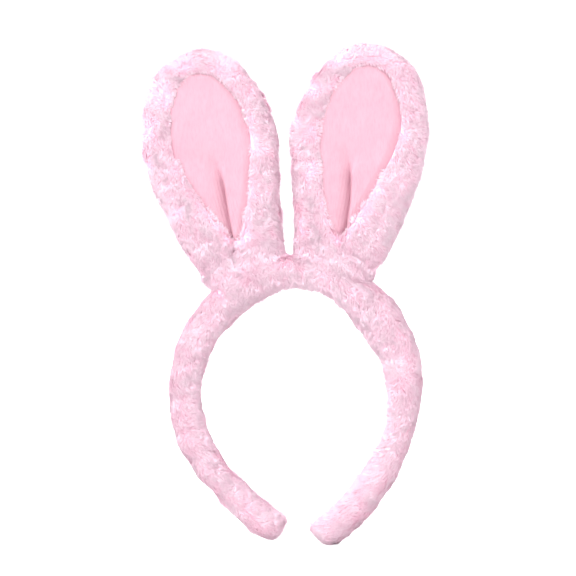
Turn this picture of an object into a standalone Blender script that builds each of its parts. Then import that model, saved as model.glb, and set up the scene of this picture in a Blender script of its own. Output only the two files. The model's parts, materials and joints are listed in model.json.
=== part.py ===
"""Plush bunny-ear headband.

A sprung plastic strip, padded with foam and sleeved in long-pile fur, carries
two flat padded ears.  Each ear is a fur back panel and a fur front frame sewn
together at the edge, with a velour lining set into the frame, a sheet of
wadding and a loop of steel wire inside.

Frame: +X to the wearer-facing viewer's right, -Y to the front, +Z up.  The
origin is the middle of the flat under the crown, where it rests on the head.
All dimensions below are in millimetres; meshes are made in metres.
"""

import math

import bmesh
import bpy
import numpy as np
from mathutils import Matrix, Vector

# ---------------------------------------------------------------- dimensions
MM = 0.001
COLLECTION = "bunny_ear_headband"

# centreline of the padded band: (radius, length) of each arc, crown to tip
BAND_ARCS = ((63.3, 44.8), (78.3, 85.1), (104.0, 82.5))
BAND_R = 10.4          # half thickness of the furry band, radially
BAND_Y = 12.5          # half depth of the furry band, front to back
BAND_POWER = 2.6       # roundness of the outer section
BORE_R, BORE_Y, BORE_POWER = 6.6, 8.5, 5.0
FLAT_DEPTH = 0.5       # how far the head flattens the underside of the crown
FLAT_HALF_LENGTH = 9.0
CROWN_Z = BAND_R - FLAT_DEPTH

FLEX_S = 63.0          # where the arms flex, measured along the centreline
FLEX_OPEN, FLEX_CLOSE = 14.0, 3.0
STRIP_OFFSET = -3.6    # strip below the centreline
STRIP_T = 1.8
STRIP_Y = 6.5          # half width at the crown
STRIP_Y_TIP = 5.0
TAPE_T = 0.5
TAPE_LEN = 12.0
TAPE_S = 27.5          # middle of the tape that binds an ear's wire to the strip
FIT_GAP = 0.3          # clearance between pieces that would touch
THREAD_R = 0.3

# ear, in its own axes: u across, v along the ear, w through it (front is -w)
EAR_X, EAR_Z = 32.3, CROWN_Z + 9.3   # foot of the ear's own axis
EAR_LEAN = 11.3                      # degrees outward from upright
EAR_H, EAR_WIDEST_V = 135.0, 73.0
EAR_W, EAR_W0 = 42.4, 28.0           # half widths: widest and at the foot
EAR_TAPER, EAR_TOP_N, EAR_TOP_M = 1.36, 1.8, 2.33
EAR_HALF_T = 6.5
EAR_BASE_GAP = 1.3                   # ear foot above the band's fur
EAR_FOOT_ANGLES = (2.8, 43.0)        # the part of the crown arc the ear covers
EAR_BOW = 5.0                        # the ear bows back by this at its top
FOLD_V = 70.0                        # the tip folds about this line
FOLD_FRONT, FOLD_BACK = 60.0, 25.0   # tip fold, degrees
TILT_S = 20.0                        # arc length above which the tilt axis crosses the band
TILT_ABOVE = 2.8                     # axis above the band's fur there; both axes run along X,
                                     # so the ears swing side by side and never meet
WIRE_R, WIRE_INSET = 0.8, 4.2
WADDING_INSET = 7.0

# velour patch, in the ear's own axes
PATCH_U = -1.6
PATCH_V0, PATCH_V1, PATCH_WIDEST_V = 12.0, 122.5, 80.0
PATCH_W, PATCH_W0 = 22.4, 5.0

RING = 36              # points round an ear outline
SECTION = 16           # points round a band section


# ---------------------------------------------------------------- materials
def material(name, colour, rough, metal=0.0):
    m = bpy.data.materials.new(name)
    m.use_nodes = True
    b = m.node_tree.nodes["Principled BSDF"]
    b.inputs["Base Color"].default_value = (*colour, 1.0)
    b.inputs["Roughness"].default_value = rough
    b.inputs["Metallic"].default_value = metal
    m.diffuse_color = (*colour, 1.0)
    return m


# ---------------------------------------------------------------- scene
for old in list(bpy.data.objects):
    bpy.data.objects.remove(old, do_unlink=True)
home = bpy.data.collections.new(COLLECTION)
bpy.context.scene.collection.children.link(home)

FUR = material("pink_fur", (0.96, 0.66, 0.78), 0.95)
VELOUR = material("pink_velour", (0.95, 0.62, 0.75), 0.85)
THREAD = material("pink_thread", (0.90, 0.52, 0.66), 0.7)
PLASTIC = material("white_plastic", (0.82, 0.81, 0.78), 0.45)
FOAM = material("white_foam", (0.88, 0.87, 0.83), 0.9)
WADDING = material("polyester_wadding", (0.92, 0.92, 0.92), 0.95)
STEEL = material("steel_wire", (0.60, 0.61, 0.63), 0.3, 1.0)
TAPE = material("cloth_tape", (0.85, 0.83, 0.78), 0.8)


def add_object(name, data, mat, pivot=None):
    data.materials.append(mat)
    ob = bpy.data.objects.new(name, data)
    home.objects.link(ob)
    if pivot is not None:
        # the piece's origin goes to its joint's axis
        p = Vector(pivot) * MM
        data.transform(Matrix.Translation(-p))
        ob.location = p
    return ob


def face_outward(bm):
    """Make the faces of a closed piece agree, and point out of it."""
    bmesh.ops.recalc_face_normals(bm, faces=bm.faces[:])
    if bm.calc_volume(signed=True) < 0.0:
        bmesh.ops.reverse_faces(bm, faces=bm.faces[:])


def mesh_from_bmesh(name, bm, mat, pivot=None):
    face_outward(bm)
    me = bpy.data.meshes.new(name)
    bm.to_mesh(me)
    bm.free()
    me.shade_smooth()
    me.set_sharp_from_angle(angle=math.radians(40))
    return add_object(name, me, mat, pivot)


# ---------------------------------------------------------------- band curve
def band_point(s):
    """Centreline at arc length s (right half positive): x, z and the tangent's
    angle below horizontal."""
    side, rest = (1.0 if s >= 0 else -1.0), abs(s)
    x, z, a = 0.0, CROWN_Z, 0.0
    for i, (radius, length) in enumerate(BAND_ARCS):
        step = rest if i == len(BAND_ARCS) - 1 else min(rest, length)
        b = a + step / radius
        x += radius * (math.sin(b) - math.sin(a))
        z -= radius * (math.cos(a) - math.cos(b))
        a, rest = b, rest - step
        if rest <= 0:
            break
    return side * x, z, side * a


BAND_LEN = sum(length for _, length in BAND_ARCS)


def band_offset(s, r, y, along=0.0):
    """Point at r outward from the centreline, y in depth, moved along it."""
    x, z, a = band_point(s)
    return (
        x + r * math.sin(a) + along * math.cos(a),
        y,
        z + r * math.cos(a) - along * math.sin(a),
    )


def superellipse(t, a, b, n):
    c, s = math.cos(t), math.sin(t)
    return (
        a * math.copysign(abs(c) ** (2.0 / n), c),
        b * math.copysign(abs(s) ** (2.0 / n), s),
    )


def setback(r):
    """How far a piece's end stands back from the flex plane at offset r, so
    the arm can swing without touching the crown."""
    d = r - STRIP_OFFSET
    half = (FLEX_OPEN if d > 0 else FLEX_CLOSE) / 2.0 + 0.6
    return 0.25 + abs(d) * math.tan(math.radians(half))


def section_ring(s, half_r, half_y, power, offset=0.0, end=0, count=SECTION):
    """A closed section of the band at s.  end=+1/-1 marks a ring on the flex
    plane of an arm or of the crown, which is set back from it."""
    ring = []
    for i in range(count):
        r, y = superellipse(2 * math.pi * (i + 0.5) / count, half_r, half_y, power)
        r += offset
        ring.append(band_offset(s, r, y, end * setback(r)))
    return ring


def loft(name, rings, mat, closed=False, pivot=None, clamp_flat=False):
    bm = bmesh.new()
    rows = []
    for ring in rings:
        row = []
        for x, y, z in ring:
            if clamp_flat and z < 0.0 and abs(x) < FLAT_HALF_LENGTH:
                z = 0.0
            row.append(bm.verts.new((x * MM, y * MM, z * MM)))
        rows.append(row)
    pairs = list(zip(rows, rows[1:]))
    if closed:
        pairs.append((rows[-1], rows[0]))
    for lo, hi in pairs:
        n = len(lo)
        for i in range(n):
            j = (i + 1) % n
            bm.faces.new((lo[i], lo[j], hi[j], hi[i]))
    if not closed:
        bm.faces.new(rows[0][::-1])
        bm.faces.new(rows[-1])
    return mesh_from_bmesh(name, bm, mat, pivot)


def spaced(a, b, step):
    n = max(1, int(round(abs(b - a) / step)))
    return [a + (b - a) * i / n for i in range(n + 1)]


def wire(name, points, radius, mat, resolution=0, pivot=None):
    cu = bpy.data.curves.new(name, "CURVE")
    cu.dimensions = "3D"
    cu.bevel_depth = radius * MM
    cu.bevel_resolution = resolution
    cu.use_fill_caps = True
    cu.resolution_u = 1
    cu.render_resolution_u = 0
    sp = cu.splines.new("POLY")
    sp.points.add(len(points) - 1)
    for p, co in zip(sp.points, points):
        p.co = (co[0] * MM, co[1] * MM, co[2] * MM, 1.0)
    return add_object(name, cu, mat, pivot)


# ---------------------------------------------------------------- the band
def build_crown():
    stops = spaced(-FLEX_S, FLEX_S, 9.0)
    ends = [-1] + [0] * (len(stops) - 2) + [1]

    def end_of(i):
        return -ends[i]

    def rings(half_r, half_y, power, offset=0.0, count=SECTION):
        return [
            section_ring(s, half_r, half_y, power, offset, end_of(i), count)
            for i, s in enumerate(stops)
        ]

    outer = rings(BAND_R, BAND_Y, BAND_POWER)
    bore = rings(BORE_R, BORE_Y, BORE_POWER)
    loft("crown_fur_cover", outer + bore[::-1], FUR, closed=True, clamp_flat=True)
    loft("crown_core_band", rings(STRIP_T / 2, STRIP_Y, 6.0, STRIP_OFFSET, 8), PLASTIC)
    build_foam("crown_foam_pad", stops, ends)
    for side, word in ((-1, "left"), (1, "right")):
        mid = side * TAPE_S
        stations = [mid - TAPE_LEN / 2, mid, mid + TAPE_LEN / 2]
        out_r = STRIP_T / 2 + FIT_GAP + TAPE_T
        tape_out = [section_ring(s, out_r, STRIP_Y + FIT_GAP + TAPE_T, 6.0, STRIP_OFFSET, 0, 8) for s in stations]
        tape_in = [section_ring(s, STRIP_T / 2 + FIT_GAP, STRIP_Y + FIT_GAP, 6.0, STRIP_OFFSET, 0, 8) for s in stations]
        loft(word + "_ear_binding_tape", tape_out + tape_in[::-1], TAPE, closed=True)


def build_foam(name, stops, ends, pivot=None):
    """Foam lies on the outer face of the strip: a D section inside the bore."""
    floor = STRIP_OFFSET + STRIP_T / 2 + FIT_GAP + TAPE_T + FIT_GAP
    top, half_y = BORE_R - 0.5, BORE_Y - 0.6
    rings = []
    for i, s in enumerate(stops):
        ring = []
        for j in range(7):
            t = math.pi * j / 6
            y, r = superellipse(t, half_y, top - floor, 3.2)
            r = floor + r
            ring.append(band_offset(s, r, y, -ends[i] * setback(r)))
        rings.append(ring)
    loft(name, rings, FOAM, pivot=pivot)


def build_arm(side, word):
    pivot = band_offset(side * FLEX_S, STRIP_OFFSET, 0.0)
    last = BAND_LEN
    stops = [FLEX_S] + spaced(FLEX_S + 6.0, last, 10.0)
    mark = [1] + [0] * (len(stops) - 1)

    def ring(s, half_r, half_y, power, offset=0.0, end=0, count=SECTION):
        return section_ring(side * s, half_r, half_y, power, offset, side * end, count)

    # the sleeve, from the blind end of its bore back out and round its tip
    inner_last = last
    bore = [ring(s, BORE_R, BORE_Y, BORE_POWER, 0.0, m) for s, m in zip(stops, mark) if s < inner_last - 5.0]
    bore += [ring(inner_last - 5.0, BORE_R, BORE_Y, BORE_POWER), ring(inner_last, BORE_R * 0.7, BORE_Y * 0.7, BORE_POWER)]
    outer = [ring(s, BAND_R, BAND_Y, BAND_POWER, 0.0, m) for s, m in zip(stops, mark)]
    tip = []
    for t in (28.0, 54.0, 76.0):
        c, q = math.cos(math.radians(t)), math.sin(math.radians(t))
        tip.append(ring(last + 10.5 * q, BAND_R * c, BAND_Y * c, BAND_POWER))
    loft(word + "_arm_fur_cover", bore[::-1] + outer + tip, FUR, pivot=pivot)

    # strip and foam stop short of the closed tip
    inner = [s for s in stops if s < last - 14.0] + [last - 8.0]
    strip = []
    for i, s in enumerate(inner):
        f = (s - FLEX_S) / (last - FLEX_S)
        half_y = STRIP_Y + (STRIP_Y_TIP - STRIP_Y) * f
        strip.append(ring(s, STRIP_T / 2, half_y, 6.0, STRIP_OFFSET, 1 if i == 0 else 0, 8))
    loft(word + "_arm_core_band", strip, PLASTIC, pivot=pivot)
    foam_marks = [-side] + [0] * (len(inner) - 1)
    build_foam(word + "_arm_foam_pad", [side * s for s in inner], foam_marks, pivot)


def seam_points(s0, s1, pitch):
    """Ladder stitches along the back of the sleeve's inner side."""
    pts = []
    for i, s in enumerate(spaced(s0, s1, pitch)):
        t = math.radians(136.0 if i % 2 else 127.0)
        r, y = superellipse(t, BAND_R + THREAD_R + FIT_GAP, BAND_Y + THREAD_R + FIT_GAP, BAND_POWER)
        pts.append(band_offset(s, r, y))
    return pts


def build_band_threads():
    wire("crown_seam_thread", seam_points(-FLEX_S + 4.0, FLEX_S - 4.0, 4.5), THREAD_R, THREAD)
    for side, word in ((-1, "left"), (1, "right")):
        pivot = band_offset(side * FLEX_S, STRIP_OFFSET, 0.0)
        pts = seam_points(side * (FLEX_S + 4.0), side * (BAND_LEN - 2.0), 4.5)
        wire(word + "_arm_seam_thread", pts, THREAD_R, THREAD, pivot=pivot)
        # the sleeve's open end is drawn together and tied off at the tip
        pts = []
        for i in range(15):
            t = 2 * math.pi * i / 16
            rad = 3.4 if i % 2 else 2.0
            pts.append(band_offset(side * (BAND_LEN + 10.5), rad * math.cos(t), rad * math.sin(t), side * (0.45 + THREAD_R)))
        wire(word + "_arm_tip_stitch", pts, THREAD_R, THREAD, pivot=pivot)


# ---------------------------------------------------------------- the ears
LEAN = math.radians(EAR_LEAN)
ARC_R = BAND_ARCS[0][0]
ARC_CENTRE_Z = CROWN_Z - ARC_R


def ear_half_width(v):
    if v < EAR_WIDEST_V:
        f = max(0.0, 1.0 - v / EAR_WIDEST_V)
        return EAR_W0 + (EAR_W - EAR_W0) * (1.0 - f ** EAR_TAPER)
    f = min(1.0, (v - EAR_WIDEST_V) / (EAR_H - EAR_WIDEST_V))
    return EAR_W * max(0.0, 1.0 - f ** EAR_TOP_N) ** (1.0 / EAR_TOP_M)


def patch_half_width(v):
    if v < PATCH_WIDEST_V:
        f = max(0.0, 1.0 - (v - PATCH_V0) / (PATCH_WIDEST_V - PATCH_V0))
        return PATCH_W0 + (PATCH_W - PATCH_W0) * (1.0 - f ** 1.5)
    f = min(1.0, (v - PATCH_WIDEST_V) / (PATCH_V1 - PATCH_WIDEST_V))
    return PATCH_W * max(0.0, 1.0 - f ** 1.9) ** (1.0 / 2.1)


def to_flat(u, v):
    """Ear axes to the plane of the ear: x outward from the middle, z up."""
    return (
        EAR_X + u * math.cos(LEAN) + v * math.sin(LEAN),
        EAR_Z - u * math.sin(LEAN) + v * math.cos(LEAN),
    )


def to_ear(x, z):
    dx, dz = x - EAR_X, z - EAR_Z
    return (
        dx * math.cos(LEAN) - dz * math.sin(LEAN),
        dx * math.sin(LEAN) + dz * math.cos(LEAN),
    )


def resample(points, count):
    p = np.array(points + [points[0]], dtype=float)
    d = np.concatenate([[0.0], np.cumsum(np.hypot(*np.diff(p, axis=0).T))])
    t = np.linspace(0.0, d[-1], count + 1)[:-1]
    return np.stack([np.interp(t, d, p[:, 0]), np.interp(t, d, p[:, 1])], axis=1)


def rounded(points, window):
    """Round a closed outline's corners with a moving average along it."""
    dense = resample(points, 720)
    step = np.hypot(*(dense[1] - dense[0]))
    half = max(1, int(round(window / step / 2)))
    acc = np.zeros_like(dense)
    for k in range(-half, half + 1):
        acc += np.roll(dense, k, axis=0)
    return acc / (2 * half + 1)


def lobe(half_width, v0, v_widest, v1):
    """Right side up and left side down, over the top of a lobe."""
    low = [v0 + (v_widest - v0) * i / 24 for i in range(24)]
    high = [v_widest + (v1 - v_widest) * math.sin(math.pi / 2 * i / 24) for i in range(25)]
    right = [(half_width(v), v) for v in low + high]
    left = [(-u, v) for u, v in right[:-1]][::-1]
    return right, left


def ear_outline():
    right, left = lobe(ear_half_width, 0.0, EAR_WIDEST_V, EAR_H)
    sides = [to_flat(u, v) for u, v in right + left]
    foot_r = ARC_R + BAND_R + EAR_BASE_GAP
    a0, a1 = (math.radians(a) for a in EAR_FOOT_ANGLES)
    foot = []
    for i in range(25):
        a = a0 + (a1 - a0) * i / 24
        foot.append((foot_r * math.sin(a), ARC_CENTRE_Z + foot_r * math.cos(a)))
    return rounded([to_ear(x, z) for x, z in sides + foot], 9.0)


def patch_outline():
    right, left = lobe(patch_half_width, PATCH_V0, PATCH_WIDEST_V, PATCH_V1)
    pts = [(u + PATCH_U, v) for u, v in right + left]
    return rounded(pts, 6.0)


def ray_hit(outline, centre, angle):
    """Where a ray from the centre leaves a closed outline."""
    d = outline - np.array(centre)
    ang = np.unwrap(np.arctan2(d[:, 1], d[:, 0]))
    rad = np.hypot(d[:, 0], d[:, 1])
    if ang[-1] < ang[0]:
        ang, rad = ang[::-1], rad[::-1]
    target = ang[0] + (angle - ang[0]) % (2 * math.pi)
    ang = np.append(ang, ang[0] + 2 * math.pi)
    rad = np.append(rad, rad[0])
    r = np.interp(target, ang, rad)
    return np.array([centre[0] + r * math.cos(angle), centre[1] + r * math.sin(angle)])


EAR_CENTRE = (PATCH_U, 66.0)
_edge = ear_outline()
_patch = patch_outline()
_start = resample([tuple(p) for p in _edge], RING)
RING_ANGLES = [math.atan2(p[1] - EAR_CENTRE[1], p[0] - EAR_CENTRE[0]) for p in _start]
EDGE = np.array([ray_hit(_edge, EAR_CENTRE, a) for a in RING_ANGLES])
PATCH = np.array([ray_hit(_patch, EAR_CENTRE, a) for a in RING_ANGLES])


def inset_ring(inset, edge=EDGE, patch=PATCH):
    """The ear outline moved inward by inset, towards the patch outline."""
    d = patch - edge
    width = np.hypot(d[:, 0], d[:, 1])[:, None]
    return edge + d * (inset / width)


def patch_ring(inset):
    """The patch outline moved inward by inset, towards the ear's centre."""
    d = np.array(EAR_CENTRE) - PATCH
    width = np.hypot(d[:, 0], d[:, 1])[:, None]
    return PATCH + d * (inset / width)


def foot_height(x, z):
    return math.hypot(x, z - ARC_CENTRE_Z) - (ARC_R + BAND_R)


def smooth(t):
    t = min(1.0, max(0.0, t))
    return t * t * (3.0 - 2.0 * t)


def ear_depth(v):
    """How far the ear's middle sheet stands behind its foot."""
    return EAR_BOW * smooth(v / EAR_H * 0.5) * 2.0


def ear_point(side, u, v, w):
    x, z = to_flat(u, v)
    thin = 0.5 + 0.5 * smooth((foot_height(x, z) - EAR_BASE_GAP) / 20.0)
    return (side * x, w * thin + ear_depth(v), z)


def fold_pivot(side):
    return ear_point(side, 0.0, FOLD_V, 0.0)


def tilt_pivot(side):
    return band_offset(side * TILT_S, BAND_R + TILT_ABOVE, 0.0)


def cut_at_fold(bm, side, tip, gap=0.3):
    """Keep the part below or above the fold line, with its end cut back as a
    blunt wedge so the tip can fold both ways."""
    along = Vector((0.0, 0.0, 1.0))
    back = Vector((0.0, 1.0, 0.0))
    sign = -1.0 if tip else 1.0
    co = (Vector(fold_pivot(side)) - along * gap * sign) * MM
    for angle, w_sign in ((FOLD_FRONT / 2, -1.0), (FOLD_BACK / 2, 1.0)):
        no = along * sign + back * (w_sign * math.tan(math.radians(angle)))
        geom = bm.verts[:] + bm.edges[:] + bm.faces[:]
        bmesh.ops.bisect_plane(
            bm, geom=geom, dist=1e-7, plane_co=co, plane_no=no.normalized(), clear_outer=True
        )
        rim = [e for e in bm.edges if e.is_boundary]
        bmesh.ops.holes_fill(bm, edges=rim, sides=0)


def ear_solid(name, side, profile, mat, tip, ring_loop=False, rings=inset_ring, cut=True):
    """Loft outlines, each at an inset and a depth, into a closed piece."""
    bm = bmesh.new()
    rows = []
    for inset, w in profile:
        pts = rings(inset)
        rows.append([
            bm.verts.new(Vector(ear_point(side, p[0], p[1], w)) * MM) for p in pts
        ])
    pairs = list(zip(rows, rows[1:]))
    if ring_loop:
        pairs.append((rows[-1], rows[0]))
    for lo, hi in pairs:
        n = len(lo)
        for i in range(n):
            j = (i + 1) % n
            bm.faces.new((lo[i], lo[j], hi[j], hi[i]))
    if not ring_loop:
        # a flat end is closed across, side to side, in strips
        for row, flip in ((rows[0], True), (rows[-1], False)):
            close_across(bm, row, flip)
    bmesh.ops.recalc_face_normals(bm, faces=bm.faces[:])
    if cut:
        cut_at_fold(bm, side, tip)
    return mesh_from_bmesh(name, bm, mat, fold_pivot(side) if tip else tilt_pivot(side))


def close_across(bm, row, flip):
    """Bridge the two sides of an outline, starting from its highest point."""
    n = len(row)
    top = max(range(n), key=lambda i: row[i].co.z)
    a = [row[(top + i) % n] for i in range(n)]
    i, j = 1, n - 1
    quads = [(a[0], a[1], a[n - 1])]
    while j - i > 2:
        quads.append((a[i], a[i + 1], a[j - 1], a[j]))
        i, j = i + 1, j - 1
    if j - i == 2:
        quads.append((a[i], a[i + 1], a[j]))
    for q in quads:
        bm.faces.new(q[::-1] if flip else q)


def ear_path(side, ring, w, tip, clear):
    """The part of a closed ring above or below the fold, as an open path."""
    n = len(ring)
    height = [to_flat(p[0], p[1])[1] - to_flat(0.0, FOLD_V)[1] for p in ring]
    keep = [(h >= clear) if tip else (h <= -clear) for h in height]
    first = next(i for i in range(n) if keep[i] and not keep[i - 1])
    run = [first]
    while keep[(run[-1] + 1) % n]:
        run.append((run[-1] + 1) % n)
    limit = clear if tip else -clear

    def crossing(i, j):
        f = (limit - height[i]) / (height[j] - height[i])
        return ring[i] + (ring[j] - ring[i]) * f

    pts = [crossing(run[0] - 1, run[0])]
    pts += [ring[i] for i in run]
    pts.append(crossing(run[-1], (run[-1] + 1) % n))
    clean = [pts[0]]
    for p in pts[1:]:
        if np.hypot(*(p - clean[-1])) > 0.8:
            clean.append(p)
    return [ear_point(side, p[0], p[1], w) for p in clean]


def build_ear(side, word):
    t = EAR_HALF_T
    back_fur = [
        (2.7, 0.2), (0.6, 0.2), (0.0, 1.6), (0.9, 4.4), (3.4, t), (16.0, t),
    ]
    # the back panel is a tray: rim, rounded edge, back, then its inside
    back_in = [(2.7, 0.2), (2.7, 2.3)]
    front_fur = [
        (0.6, -0.2), (0.0, -1.6), (0.9, -4.4), (3.4, -t),
    ]
    for tip, part in ((False, "lower"), (True, "tip")):
        name = word + "_ear_%s_" + part
        pivot = fold_pivot(side) if tip else tilt_pivot(side)

        # back: closed tray, from its inner floor out round to its back face
        ear_solid(
            name % "back_fur", side,
            [(2.7, 2.3)] + back_fur[:5], FUR, tip,
        )
        # front frame: L section ring round the lining
        bm_profile = [
            (2.7, -0.2), (0.6, -0.2), (0.0, -1.6), (0.9, -4.4), (3.4, -t),
        ]
        build_frame(name % "front_fur", side, bm_profile, tip)
        # lining: a sheet that fills the frame
        ear_solid(
            name % "lining", side, [(0.35, -3.3), (0.35, -4.5)], VELOUR, tip, rings=patch_ring,
        )
        ear_solid(
            name % "wadding", side,
            [
                (WADDING_INSET + 1.4, -1.5), (WADDING_INSET, -0.6),
                (WADDING_INSET, 0.4), (WADDING_INSET + 1.4, 1.3),
            ],
            WADDING, tip,
        )
        wire(
            name % "wire_loop",
            ear_path(side, inset_ring(WIRE_INSET), 0.0, tip, 0.95),
            WIRE_R, STEEL, 1, pivot,
        )
        wire(
            name % "lining_seam",
            ear_path(side, patch_ring(1.2), -5.1, tip, 3.8),
            THREAD_R, THREAD, 0, pivot,
        )

    # a pinch at the foot of the lining is held by a short tack
    pts = []
    for i in range(9):
        v = 16.0 + 3.0 * i
        pts.append(ear_point(side, PATCH_U + 1.0 + (0.8 if i % 2 else -0.8), v, -5.2))
    wire(word + "_ear_pleat_tack", pts, THREAD_R, THREAD, 0, tilt_pivot(side))

    # the foot of the ear is whip stitched; the stitches lie on its front face
    pts = []
    n = 16
    for i in range(n + 1):
        a = math.radians(EAR_FOOT_ANGLES[0] + 5.0 + (EAR_FOOT_ANGLES[1] - EAR_FOOT_ANGLES[0] - 10.0) * i / n)
        r = ARC_R + BAND_R + (5.2 if i % 2 else 7.6)
        u, v = to_ear(r * math.sin(a), ARC_CENTRE_Z + r * math.cos(a))
        p = ear_point(side, u, v, -t)
        pts.append((p[0], p[1] - 0.5 - THREAD_R, p[2]))
    wire(word + "_ear_base_stitch", pts, THREAD_R, THREAD, 0, tilt_pivot(side))


def build_frame(name, side, outer, tip):
    """Fur frame: edge wall and front flange, open where the lining shows."""
    bm = bmesh.new()
    rows = []
    for inset, w in outer:
        rows.append((inset_ring(inset), w))
    rows.append((patch_ring(-1.2), -EAR_HALF_T))
    rows.append((patch_ring(0.0), -5.3))
    rows.append((patch_ring(0.0), -2.7))
    rows.append((inset_ring(2.7), -2.7))
    verts = [
        [bm.verts.new(Vector(ear_point(side, p[0], p[1], w)) * MM) for p in pts]
        for pts, w in rows
    ]
    for lo, hi in zip(verts, verts[1:] + verts[:1]):
        n = len(lo)
        for i in range(n):
            j = (i + 1) % n
            bm.faces.new((lo[i], lo[j], hi[j], hi[i]))
    bmesh.ops.recalc_face_normals(bm, faces=bm.faces[:])
    cut_at_fold(bm, side, tip)
    return mesh_from_bmesh(name, bm, FUR, fold_pivot(side) if tip else tilt_pivot(side))


# ---------------------------------------------------------------- assembly
build_crown()
build_arm(-1, "left")
build_arm(1, "right")
build_band_threads()
build_ear(-1, "left")
build_ear(1, "right")
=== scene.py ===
import json
import math

import bmesh
import bpy
import numpy as np
from mathutils import Matrix, Quaternion, Vector, kdtree

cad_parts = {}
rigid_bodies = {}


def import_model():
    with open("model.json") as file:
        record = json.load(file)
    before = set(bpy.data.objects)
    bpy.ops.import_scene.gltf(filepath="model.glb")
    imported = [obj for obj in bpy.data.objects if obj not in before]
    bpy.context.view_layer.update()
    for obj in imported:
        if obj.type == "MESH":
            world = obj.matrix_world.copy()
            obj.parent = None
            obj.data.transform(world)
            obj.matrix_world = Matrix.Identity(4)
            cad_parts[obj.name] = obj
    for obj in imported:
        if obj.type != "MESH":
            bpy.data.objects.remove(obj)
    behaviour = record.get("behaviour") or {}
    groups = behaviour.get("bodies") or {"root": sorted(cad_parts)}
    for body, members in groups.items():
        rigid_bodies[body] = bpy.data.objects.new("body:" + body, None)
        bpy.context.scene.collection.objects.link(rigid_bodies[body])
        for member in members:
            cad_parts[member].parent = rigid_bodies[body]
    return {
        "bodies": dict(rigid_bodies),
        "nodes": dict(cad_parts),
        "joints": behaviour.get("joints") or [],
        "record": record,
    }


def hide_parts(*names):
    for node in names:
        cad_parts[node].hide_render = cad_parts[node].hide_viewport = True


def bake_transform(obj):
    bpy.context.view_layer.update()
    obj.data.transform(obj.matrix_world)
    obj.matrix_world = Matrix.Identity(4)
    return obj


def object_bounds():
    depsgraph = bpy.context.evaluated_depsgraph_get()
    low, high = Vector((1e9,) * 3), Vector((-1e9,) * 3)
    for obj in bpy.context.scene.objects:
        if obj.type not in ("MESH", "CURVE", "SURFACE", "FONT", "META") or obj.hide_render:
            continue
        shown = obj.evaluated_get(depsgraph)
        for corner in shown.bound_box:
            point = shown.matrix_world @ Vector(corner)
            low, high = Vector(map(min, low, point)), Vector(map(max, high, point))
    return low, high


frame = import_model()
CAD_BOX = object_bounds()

MM = 0.001

# ------------------------------------------------------------------ the design's dimensions, as the CAD has them
BAND_ARCS = ((63.3, 44.8), (78.3, 85.1), (104.0, 82.5))
BAND_LEN = sum(a[1] for a in BAND_ARCS)
BAND_R, BAND_Y, BAND_POWER = 10.4, 12.5, 2.6
CROWN_Z = BAND_R - 0.5
FLEX_S = 63.0
ARC_R = BAND_ARCS[0][0]
ARC_CENTRE_Z = CROWN_Z - ARC_R
EAR_X, EAR_Z, LEAN = 32.3, CROWN_Z + 9.3, math.radians(11.3)
EAR_H, EAR_WIDEST_V, EAR_W, EAR_W0 = 135.0, 73.0, 42.4, 28.0
EAR_HALF_T, EAR_BOW, FOLD_V = 6.5, 5.0, 70.0
FOOT_ANGLES = (2.8, 43.0)
EAR_BASE_GAP = 1.3
PATCH_U, PATCH_V0, PATCH_V1, PATCH_WIDEST_V = -1.6, 12.0, 122.5, 80.0
PATCH_W, PATCH_W0 = 25.4, 3.0
EAR_CENTRE = np.array((PATCH_U, 66.0))
PILE = 2.0  # how deep the lying pile is over its backing cloth


# ------------------------------------------------------------------ small vector tools
def unit(v):
    return v / np.maximum(np.linalg.norm(v, axis=-1, keepdims=True), 1e-9)


def smooth(t):
    t = np.clip(t, 0.0, 1.0)
    return t * t * (3.0 - 2.0 * t)


class Waves:
    """Smooth noise: a sum of plane waves, in millimetres."""

    def __init__(self, seed, shortest, longest, count=28, out=1):
        r = np.random.default_rng(seed)
        d = unit(r.normal(size=(count, 3)))
        self.k = d * (2 * math.pi / np.exp(r.uniform(math.log(shortest), math.log(longest), count)))[:, None]
        self.p = r.uniform(0, 2 * math.pi, (out, count))
        self.a = math.sqrt(2.0 / count)

    def __call__(self, co):
        ph = co @ self.k.T
        return np.stack([np.sin(ph + p).sum(-1) * self.a for p in self.p], -1)


# ------------------------------------------------------------------ the band
def band_point(s):
    """Centreline at arc length s >= 0 of the right half: x, z, angle."""
    s = np.asarray(s, float)
    x = np.zeros_like(s)
    z = np.full_like(s, CROWN_Z)
    a = np.zeros_like(s)
    rest = s.copy()
    for i, (radius, length) in enumerate(BAND_ARCS):
        step = np.clip(rest, -1e9 if i == 0 else 0.0, 1e9 if i == len(BAND_ARCS) - 1 else length)
        b = a + step / radius
        x += radius * (np.sin(b) - np.sin(a))
        z -= radius * (np.cos(a) - np.cos(b))
        a, rest = b, rest - step
    return x, z, a


def band_co(side, s, r, y):
    x, z, a = band_point(s)
    return np.stack([side * (x + r * np.sin(a)), y, z + r * np.cos(a)], -1)


def superellipse(t, a, b, n):
    c, s = np.cos(t), np.sin(t)
    return a * np.sign(c) * np.abs(c) ** (2 / n), b * np.sign(s) * np.abs(s) ** (2 / n)


# ------------------------------------------------------------------ the ear, in its own axes
def ear_half_width(v):
    low = EAR_W0 + (EAR_W - EAR_W0) * (1 - np.clip(1 - v / EAR_WIDEST_V, 0, 1) ** 1.36)
    f = np.clip((v - EAR_WIDEST_V) / (EAR_H - EAR_WIDEST_V), 0, 1)
    return np.where(v < EAR_WIDEST_V, low, EAR_W * np.clip(1 - f ** 1.8, 0, 1) ** (1 / 2.33))


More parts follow.
